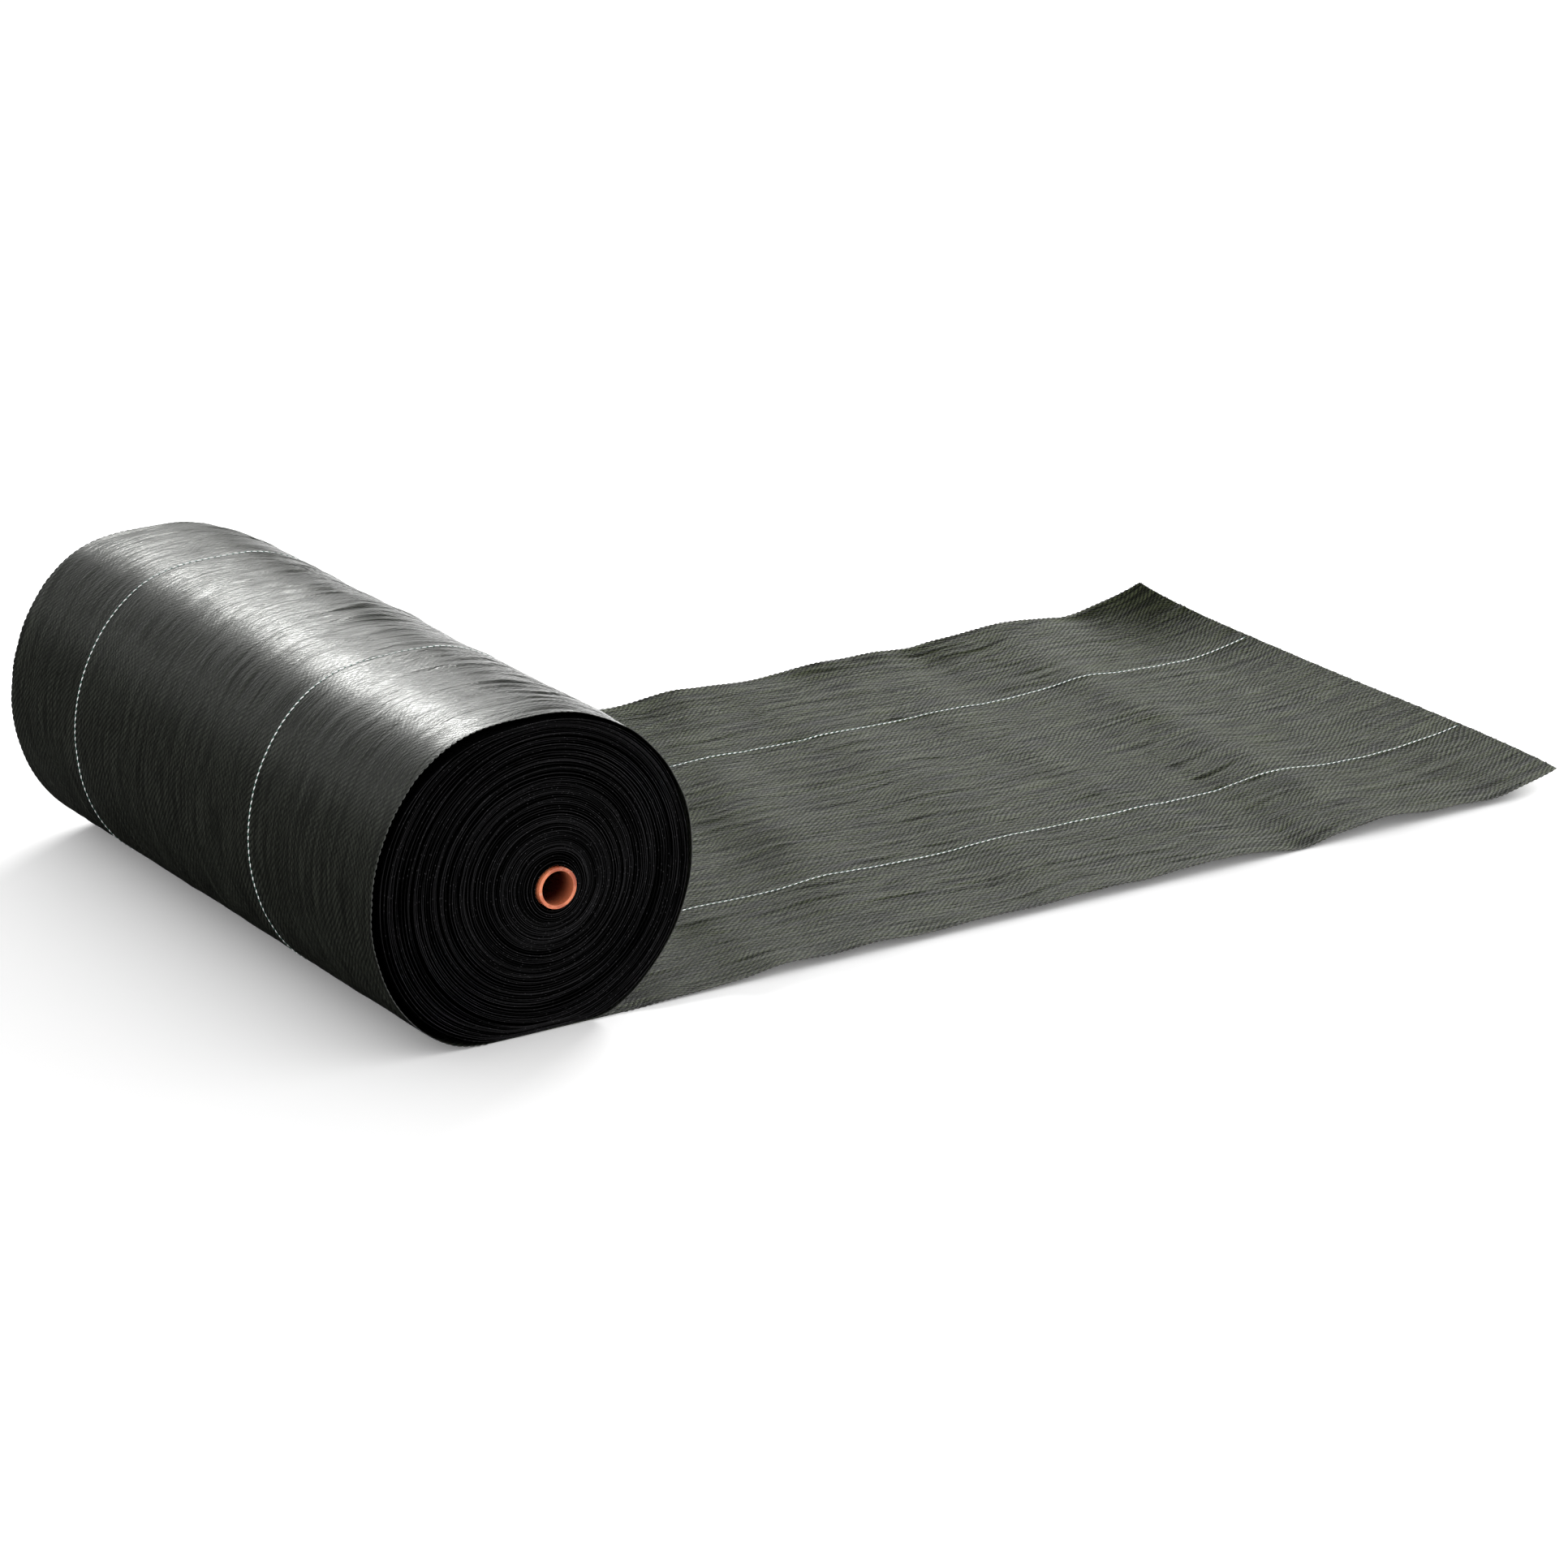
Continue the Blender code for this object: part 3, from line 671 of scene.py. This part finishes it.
# Each fold: its place along the cloth and drift across it, its height, and its half width,
# as shares of the laid length, of the fold height and of the laid length.
FOLD_HEIGHT = 0.0042
FOLDS = ((0.29, 0.185, 0.70, 0.036), (0.50, 0.060, 0.30, 0.040), (0.70, 0.035, -0.65, 0.027),
         (0.79, 0.040, 1.00, 0.038), (0.91, 0.0, -0.70, 0.025))
# The ripples: creases, soft bands across the cloth, and the waves of the two hems.
RIPPLE_HEIGHT = 0.00022
BAND_HEIGHT = 0.0007
BAND_BLUR = (0.017, 0.11)
HEM_HEIGHT = 0.0011
HEM_BLUR = 0.022
HEM_REACH = 0.018
RIPPLE_START = (0.03, 0.08)
RIPPLE_END = (0.10, 0.08)
RIPPLE_LOSS = 0.6
# The laid length's pale colour is painted paler and greener than the roll's: painted sheen over
# the cloth's own tone.
LAID_PAINTED_SHEEN = (0.071, 0.083, 0.043)
LAID_SHEEN = (0.88, 1.0, 0.70, 1.0)


def laid_reach(side):
    """How far the cloth lies out from under the roll. Its corners stand back by the cube of their
    distance from the middle."""
    return LAID_REACH - between(CORNER_PULL, side) * abs(2 * side - 1) ** 3


def laid_height(x, side):
    """The underside's height over the ground: a small rise, a selvedge that falls off away from
    the edge, bell-shaped folds across the cloth, and a parabola of lift at the free end. All but
    that lift begins a little way out from the roll."""
    edge = np.minimum(side, 1 - side) * CLOTH_WIDTH
    rise = BASE_RISE + between(SELVEDGE_RISE, side) * np.exp(-edge / SELVEDGE_REACH)
    for place, drift, height, width in FOLDS:
        apart = x / LAID_REACH - place - drift * side
        rise = rise + FOLD_HEIGHT * height * np.exp(-(apart / width) ** 2)
    fade = np.clip((x - RISE_START) / RISE_RUN, 0, 1)
    curl = np.clip((x - laid_reach(side)) / END_CURL_LENGTH + 1, 0, None)
    lift = between(END_LIFT, side)
    lift = lift * (MIDDLE_LIFT_SHARE + (1 - MIDDLE_LIFT_SHARE) * (2 * side - 1) ** 2)
    return raised(rise * smooth(fade), 0, REST_BLEND) * np.minimum(2 * fade, 1) + lift * curl ** 2


def laid_ripple(x, side, shape, spacing):
    """What lies on top of the folds: wandering creases, soft bands across the cloth, and at each
    selvedge a wave of its own that dies away inwards by a bell curve. All of it begins a little
    way out from the roll, and some of it is lost again before the free end."""
    ripple = RIPPLE_HEIGHT * creases(31, shape, spacing)
    ripple += BAND_HEIGHT * blurred(37, shape, np.divide(BAND_BLUR, spacing))
    hem = blurred(41, (shape[0], 2), (HEM_BLUR / spacing[0], 0.1))
    wave = hem[:, :1] * (side < 0.5) + hem[:, 1:] * (side > 0.5)
    edge = np.minimum(side, 1 - side) * CLOTH_WIDTH
    ripple = ripple + HEM_HEIGHT * wave * np.exp(-(edge / HEM_REACH) ** 2)
    begun = smooth((x - RIPPLE_START[0]) / RIPPLE_START[1])
    lost = RIPPLE_LOSS * smooth((x - LAID_REACH + RIPPLE_END[0]) / RIPPLE_END[1])
    return ripple * (begun * (1 - lost))


across = np.linspace(0, CLOTH_WIDTH, LAID_COLUMNS)[None]
side = across / CLOTH_WIDTH
x = np.linspace(0, 1, LAID_ROWS)[:, None] * laid_reach(side)
spacing = (LAID_REACH / LAID_ROWS, CLOTH_WIDTH / LAID_COLUMNS)
height = laid_height(x, side) + laid_ripple(x, side, (LAID_ROWS, LAID_COLUMNS), spacing)
height = raised(height, 0, RIPPLE_BLEND) * smooth(x / RIPPLE_START[0])
laid = grid_points(AXIS_X + x, NEAR_RIM + across, height + THICKNESS / 2)
sheet = cloth("laid_cloth_length", laid, grid_points(top_length[-1] + x, across))
# A paler, greener copy of the cloth's finish: painted sheen.
laid_weave = Finish("laid_cloth", Specular_IOR_Level=0.06, Specular_Tint=LAID_SHEEN)
weave_looks(laid_weave, CLOTH_COLOUR, LAID_PAINTED_SHEEN, RIM_HIGHLIGHT,
            fold_depth=0.0015, crown_depth=0.00060, roughness=0.40, painted_fold_shade=0.90)
laid_weave.onto(sheet)
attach(sheet, "laid_cloth")
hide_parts("laid_length")

# ---------------------------------------------------------------------------------------------
# The marker yarns: two white yarns 0.3 m apart, laid in by the loom. Each shows as a row of
# slanting stitches, one for each second weft tape, with a dull green yarn under the joins.
MARKER_PLACES = (0.154, 0.454)
MARKER_DRIFT = 0.036
DRIFT_ANGLES = np.radians((-60, 50))
LAID_START = 0.058
LAID_STOP = 0.002
WOUND_SHARES = (0.083, 0.885)
STITCH = 0.0055
SLANT = 0.00075
FLOAT_RINGS = 8
FLOAT_SIDES = 6
FLOAT_SHARES = (0.06, 0.72)
GREEN_START = 0.74
GREEN_SHARE = 0.42
FLOAT_WIDTH = 0.0015
FLOAT_DEPTH = 0.00045
FLOAT_ARCH = 0.00022
FLOAT_TAPER = 0.86
WHITE_YARN = (0.94, 0.98, 0.96)
GREEN_YARN = (0.11, 0.22, 0.18)
YARN_DIRT = (0.30, 0.32, 0.30)
YARN_GRAIN = 0.0001


def on_grid(field, row, column):
    """Reads a grid of points at places between its rows and columns, mixed by nearness."""
    row = np.clip(row, 0, field.shape[0] - 1.001)
    column = np.clip(column, 0, field.shape[1] - 1.001)
    i, j = row.astype(int), column.astype(int)
    a, b = (row - i)[..., None], (column - j)[..., None]
    near = (1 - b) * field[i, j] + b * field[i, j + 1]
    return (1 - a) * near + a * ((1 - b) * field[i + 1, j] + b * field[i + 1, j + 1])


def tube_faces(count, rings, sides):
    """The faces of equal closed tubes whose points are numbered tube by tube and ring by ring:
    the four-sided faces of their walls, and a cap on each end."""
    first = np.arange(count)[:, None, None] * rings * sides
    walls = (grid_faces(rings, sides) + first).reshape(-1, 4)
    start = first[:, 0] + np.arange(sides)[::-1]
    end = first[:, 0] + (rings - 1) * sides + np.arange(sides)
    return walls[:, ::-1], np.vstack([start, end])[:, ::-1]


def stitches(first, last):
    """The middle lines of a marker's floats, (floats, places): lengths along the cloth, and how
    far they are aside of the marker's line. The white floats all slant the same way, each across
    the line from one side to the other. The green ones slant back across the joins."""
    start = np.arange(first, last, STITCH)[:-1, None]
    share = np.linspace(*FLOAT_SHARES, FLOAT_RINGS)
    slant = SLANT * (2 * share - 1) + 0 * start
    green = start + STITCH * (GREEN_START + GREEN_SHARE * share)
    return np.concatenate([start + STITCH * share, green]), np.concatenate([slant, -slant])


def wound_drift(length):
    """The wound cloth runs a little to the far side, so on the roll a marker drifts by a smooth
    step between two angles."""
    angle = np.interp(length, top_length, np.linspace(0, 1, TOP_ROWS)) * TURN - np.pi / 2
    return MARKER_DRIFT * smooth((angle - DRIFT_ANGLES[0]) / (DRIFT_ANGLES[1] - DRIFT_ANGLES[0]))


def floats(name, field, face, row, column):
    """Short floats of yarn over a surface of points (`field`). Each float's middle line runs
    through `row` and `column` (floats, places on the line), on the `face` of the cloth that
    shows: 1 for its upper one as it lies, -1 for the other. Round it goes an oval that narrows
    to both ends as a circle does, on a low arch, a parabola. The first half of the floats is
    white and the second green: the UV map keeps that, and the place along each float."""
    middle = on_grid(field, row, column)
    ahead = on_grid(field, row + 0.5, column) - on_grid(field, row - 0.5, column)
    aside = on_grid(field, row, column + 0.5) - on_grid(field, row, column - 0.5)
    normal = face * np.cross(ahead, aside)
    normal /= np.linalg.norm(normal, axis=-1, keepdims=True)
    sideways = np.cross(normal, np.gradient(middle, axis=1))
    sideways /= np.linalg.norm(sideways, axis=-1, keepdims=True)
    share = np.linspace(-1, 1, FLOAT_RINGS)[None, :, None]
    thick = np.sqrt(1 - FLOAT_TAPER * share ** 2)
    rise = THICKNESS / 2 + FLOAT_DEPTH * 0.4 + FLOAT_ARCH * (1 - share ** 2)
    round_it = np.arange(FLOAT_SIDES) * TURN / FLOAT_SIDES
    ring = middle[:, :, None] + normal[:, :, None] * rise[..., None]
    ring = ring + (FLOAT_WIDTH / 2 * thick * np.cos(round_it))[..., None] * sideways[:, :, None]
    ring = ring + (FLOAT_DEPTH / 2 * thick * np.sin(round_it))[..., None] * normal[:, :, None]
    walls, caps = tube_faces(len(row), FLOAT_RINGS, FLOAT_SIDES)
    kind = np.repeat([0.0, 1.0], len(row) // 2)
    flat = grid_points(kind[:, None], np.linspace(0, 1, FLOAT_RINGS * FLOAT_SIDES))
    return build(name, ring.reshape(-1, 3), walls, caps, flat.reshape(-1, 2), crease=60)


yarn = Finish("marker_yarn", Roughness=0.45, Specular_IOR_Level=0.4)
kind, run, _ = yarn.parts(yarn.cloth_place())
dirt = yarn.steps(yarn.mottle(yarn.place(), 700, 2), 0.55, 0.8) * 0.4
tint = yarn.steps(kind, 0.4, 0.6) + yarn.steps(abs(run - 0.5), 0.34, 0.50) * 0.25
fibres = yarn.mottle(yarn.stretched(yarn.place(), (1, 3, 1)), 1800, 1)
yarn.wear(
    Base_Color=yarn.mixed(dirt, yarn.mixed(tint, WHITE_YARN, GREEN_YARN), YARN_DIRT),
    Normal=yarn.bump(fibres, YARN_GRAIN))

for side_name, place in zip(("near", "far"), MARKER_PLACES):
    reach = laid_reach(place / CLOTH_WIDTH)
    length, aside = stitches(LAID_START, reach - LAID_STOP)
    row = length / reach * (LAID_ROWS - 1)
    column = (place + aside) * ((LAID_COLUMNS - 1) / CLOTH_WIDTH)
    flat_one = floats(side_name + "_marker_laid", laid, 1, row, column)
    length, aside = stitches(*np.interp(WOUND_SHARES, np.linspace(0, 1, TOP_ROWS), top_length))
    row = np.interp(length, top_length, np.arange(TOP_ROWS))
    column = (place + wound_drift(length) + aside) * ((TOP_COLUMNS - 1) / CLOTH_WIDTH)
    round_one = floats(side_name + "_marker_wound", top, -1, row, column)
    for piece, node in ((flat_one, "sheet"), (round_one, "roll")):
        yarn.onto(piece)
        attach(piece, "laid_cloth")
        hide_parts(f"{side_name}_marker_on_{node}")

# ---------------------------------------------------------------------------------------------
# The selvedge loops and the free end: the weft tape turns back at both edges in small loops, and
# the warp tapes stand out of the cut end as a short fringe. The loops of the wound turn are
# paler than the others.
LOOP_PITCH = 0.0055
LOOP_REACH = 0.0009
LOOP_SPREAD = 0.32
LOOP_TAPE = (0.0005, 0.00025)
LOOP_COLOUR = (0.085, 0.086, 0.084)
LAID_LOOPS = (0.07, 0.004)
WOUND_LOOPS = 0.05
FRINGE_PITCH = 0.00185
FRINGE_LENGTH = (0.0003, 0.0013)
FRINGE_TAPE = (0.00155, 0.00016)
SHORT_SHARE = 0.35
FRINGE_LEAN = 0.25
FRINGE_CURL = 90
TAPE_FIBRE = 0.00008


def strips(name, lines, sideways, width, depth):
    """Flat tapes: a section of `width` by `depth`, four-cornered, carried along each line
    (tapes, places, 3). `sideways` is the direction of the width at each place."""
    up = np.cross(np.gradient(lines, axis=1), sideways)
    up /= np.linalg.norm(up, axis=-1, keepdims=True)
    corner = np.array([(-1, -1), (1, -1), (1, 1), (-1, 1)]) / 2
    points = lines[:, :, None] + corner[None, None, :, :1] * width * sideways[:, :, None]
    points = points + corner[None, None, :, 1:] * depth * up[:, :, None]
    return build(name, points.reshape(-1, 3), *tube_faces(*lines.shape[:2], len(corner)))


def selvedge_loops(name, field, rows):
    """Half-oval loops out of both edges of a cloth's grid, one every second weft tape."""
    turn = np.linspace(-0.5, 0.5, 6)[None] * np.pi
    row = rows[:, None] + LOOP_SPREAD * np.sin(turn) * (rows[1] - rows[0])
    lines, flats = [], []
    for column, way in ((0.0, -1), (field.shape[1] - 1.001, 1)):
        edge = on_grid(field, row, np.full_like(row, column))
        inner = on_grid(field, row, np.full_like(row, column - way))
        out = (edge - inner) / np.linalg.norm(edge - inner, axis=-1, keepdims=True)
        ahead = np.gradient(edge, axis=1)
        flats.append(np.cross(ahead / np.linalg.norm(ahead, axis=-1, keepdims=True), out))
        lines.append(edge + (LOOP_REACH * np.cos(turn))[..., None] * out)
    return strips(name, np.concatenate(lines), np.concatenate(flats), *LOOP_TAPE)


def fringe():
    """Warp tapes that run on straight out of the cut end by a random length, three in five of
    them cut short, and lean aside evenly and up or down by the square of the distance."""
    places = np.arange(0.5, CLOTH_WIDTH / FRINGE_PITCH - 1) * FRINGE_PITCH
    column = places / CLOTH_WIDTH * (LAID_COLUMNS - 1)
    tip = on_grid(laid, np.full_like(column, LAID_ROWS - 1.001), column)
    back = on_grid(laid, np.full_like(column, LAID_ROWS - 2.0), column)
    ahead = (tip - back) / np.linalg.norm(tip - back, axis=-1, keepdims=True)
    chance = np.random.default_rng(43)
    run = chance.uniform(*FRINGE_LENGTH, len(column))
    run = run * chance.choice((SHORT_SHARE, 1.0), len(column), p=(0.6, 0.4))
    lean = chance.normal(0, FRINGE_LEAN, (len(column), 2))
    reach = np.linspace(-0.3, 1, 5)[None, :, None] * run[:, None, None]
    tapes = tip[:, None] + reach * ahead[:, None]
    tapes[..., 1] += np.clip(reach[..., 0], 0, None) * lean[:, :1]
    tapes[..., 2] += np.clip(reach[..., 0], 0, None) ** 2 * FRINGE_CURL * lean[:, 1:]
    flatwise = np.broadcast_to((0.0, 1.0, 0.0), tapes.shape)
    return strips("free_end_fringe", tapes, flatwise, *FRINGE_TAPE)


def tape_looks(name, colour):
    """Loose tape: its colour paler in soft patches, with the fibres' fine grain."""
    finish = Finish(name, Roughness=0.4)
    place = finish.place()
    finish.wear(Base_Color=finish.mixed(finish.mottle(place, 400, 2), colour, CLOTH_PALE),
                Normal=finish.bump(finish.mottle(place, 2500, 1), TAPE_FIBRE))
    return finish


pale_tape = tape_looks("pale_tape", LOOP_COLOUR)
cut_tape = tape_looks("cut_tape", CLOTH_COLOUR)
laid_rows = np.arange(LAID_LOOPS[0], LAID_REACH - LAID_LOOPS[1], LOOP_PITCH)
laid_rows = laid_rows / LAID_REACH * (LAID_ROWS - 1)
wound_rows = np.arange(WOUND_LOOPS, top_length[-1] - WOUND_LOOPS, LOOP_PITCH)
wound_rows = np.interp(wound_rows, top_length, np.arange(TOP_ROWS))
trims = ((selvedge_loops("selvedge_loops_laid", laid, laid_rows), cut_tape),
         (selvedge_loops("selvedge_loops_wound", top, wound_rows), pale_tape),
         (fringe(), cut_tape))
for piece, finish in trims:
    finish.onto(piece)
    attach(piece, "laid_cloth")

# ---------------------------------------------------------------------------------------------
# The studio: a plain pale floor in white surroundings. Two soft lamps behind the roll make the
# cloth's sheen, and a low one on the right rakes over the laid length, so that its folds show.
# The camera stands where the photographer stood.
FLOOR_SIZE = 14.0
FLOOR_DROP = 0.0002
FLOOR_COLOUR = (0.97, 0.97, 0.97)
FLOOR_FLECK = (0.98, 0.98, 0.98)
FLOOR_GLOW = (0.12, 0.12, 0.12)
CARD_STEPS = 12
CAMERA_PLACE = (-2.21649, -3.41069, 1.43243)
CAMERA_YAW = np.radians(32.6947)
CAMERA_PITCH = np.radians(19.0729)
CAMERA_ROLL = np.radians(-0.376)
CAMERA_LENS = 119.457
CAMERA_SENSOR = 36.0
CAMERA_SHIFT = (-0.0025, -0.0003)
CAMERA_REACH = 60.0

scene = bpy.context.scene
corner = np.array([(-1, -1, 0), (1, -1, 0), (1, 1, 0), (-1, 1, 0)]) * FLOOR_SIZE
floor = build("studio_floor", corner - (0, 0, FLOOR_DROP), np.array([[0, 1, 2, 3]]))
# The floor glows a little for the camera and in mirror images, so that it stays white there,
# and lights nothing.
paper = Finish("floor_paper", Roughness=0.9, Specular_IOR_Level=0.0, Emission_Strength=1.0)
camera_ray, glossy_ray, transmission_ray = paper.node(
    "LightPath", outputs=("Is Camera Ray", "Is Glossy Ray", "Is Transmission Ray"))
seen = camera_ray + glossy_ray + transmission_ray
paper.wear(
    Base_Color=paper.mixed(paper.mottle(paper.place(), 3, 2), FLOOR_COLOUR, FLOOR_FLECK),
    Emission_Color=paper.mixed(seen, (0, 0, 0), FLOOR_GLOW))
paper.onto(floor)

world = bpy.data.worlds.new("studio")
world.use_nodes = True
scene.world = world
world.node_tree.nodes["Background"].inputs["Color"].default_value = (1, 1, 1, 1)
world.node_tree.nodes["Background"].inputs["Strength"].default_value = 1.0


def card(name, x, y, z, shade):
    """A grey card through a grid of points. Only glossy rays meet it: it stands in for an unlit
    part of the studio, which the glossy cloth mirrors."""
    grid = grid_points(x, y, z)
    made = build(name, grid.reshape(-1, 3), grid_faces(*grid.shape[:2], round_columns=False))
    Finish(name, Roughness=1.0, Specular_IOR_Level=0.0,
           Base_Color=(shade, shade, shade, 1)).onto(made)
    made.visible_camera = False
    made.visible_diffuse = False
    made.visible_shadow = False
    made.visible_transmission = False


sweep = np.linspace(0, 1, CARD_STEPS)
aside = np.linspace(0, 1, CARD_STEPS)[:, None]
card("card_left_floor", -0.50 - 2.9 * sweep, -1.5 + 6 * aside, 0.0004, 0.02)
card("card_left_wall", -3.4, -1.5 + 6 * aside, 1.4 * sweep, 0.004)
card("card_back_wall", -3.4 + 2.5 * aside, 4.5, 1.6 * sweep, 0.004)
card("card_ceiling", -3.0 + 10 * aside, -1.0 + 7.2 * sweep, 2.5, 0.03)


def soft_lamp(name, place, aim, size, power, spread, sheen, shade):
    """A flat soft lamp at a place, square on to the point that it lights. It makes the sheen of
    glossy surfaces, the light and shade of matt ones, or both."""
    light = bpy.data.lights.new(name, "AREA")
    light.shape = "RECTANGLE"
    light.size, light.size_y = size
    light.energy = power
    light.spread = np.radians(spread)
    lamp = bpy.data.objects.new(name, light)
    lamp.location = place
    away = np.subtract(place, aim)
    pan = np.arctan2(away[0], -away[1])
    tilt = np.arctan2(np.hypot(away[0], away[1]), away[2])
    lamp.rotation_euler = (tilt, 0, pan)
    lamp.visible_camera = False
    lamp.visible_glossy = sheen
    lamp.visible_diffuse = shade
    scene.collection.objects.link(lamp)


soft_lamp("window_behind", place=(-0.02, 1.45, 1.54), aim=(AXIS_X, -0.30, AXIS_Z + 0.12),
          size=(0.72, 0.32), power=5.6, spread=58, sheen=True, shade=False)
soft_lamp("window_right", place=(1.75, 2.19, 0.52), aim=(0.25, 0, 0),
          size=(1.3, 0.26), power=6, spread=180, sheen=True, shade=False)
soft_lamp("window_low", place=(2.15, 1.75, 0.50), aim=(0.25, 0, 0),
          size=(1.6, 0.30), power=225, spread=180, sheen=False, shade=True)

camera = bpy.data.objects.new("camera", bpy.data.cameras.new("camera"))
scene.collection.objects.link(camera)
scene.camera = camera
camera.data.lens = CAMERA_LENS
camera.data.sensor_width = CAMERA_SENSOR
camera.data.shift_x, camera.data.shift_y = CAMERA_SHIFT
camera.data.clip_end = CAMERA_REACH
level = np.array((np.cos(CAMERA_YAW), -np.sin(CAMERA_YAW), 0.0))
ahead = np.array((np.sin(CAMERA_YAW) * np.cos(CAMERA_PITCH),
                  np.cos(CAMERA_YAW) * np.cos(CAMERA_PITCH), -np.sin(CAMERA_PITCH)))
above = np.cross(level, ahead)
right = np.cos(CAMERA_ROLL) * level + np.sin(CAMERA_ROLL) * above
up = np.cos(CAMERA_ROLL) * above - np.sin(CAMERA_ROLL) * level
stand = np.stack([right, up, -ahead, CAMERA_PLACE], axis=1)
camera.matrix_world = Matrix(np.vstack([stand, (0, 0, 0, 1)]).tolist())
scene.view_settings.view_transform = "Standard"
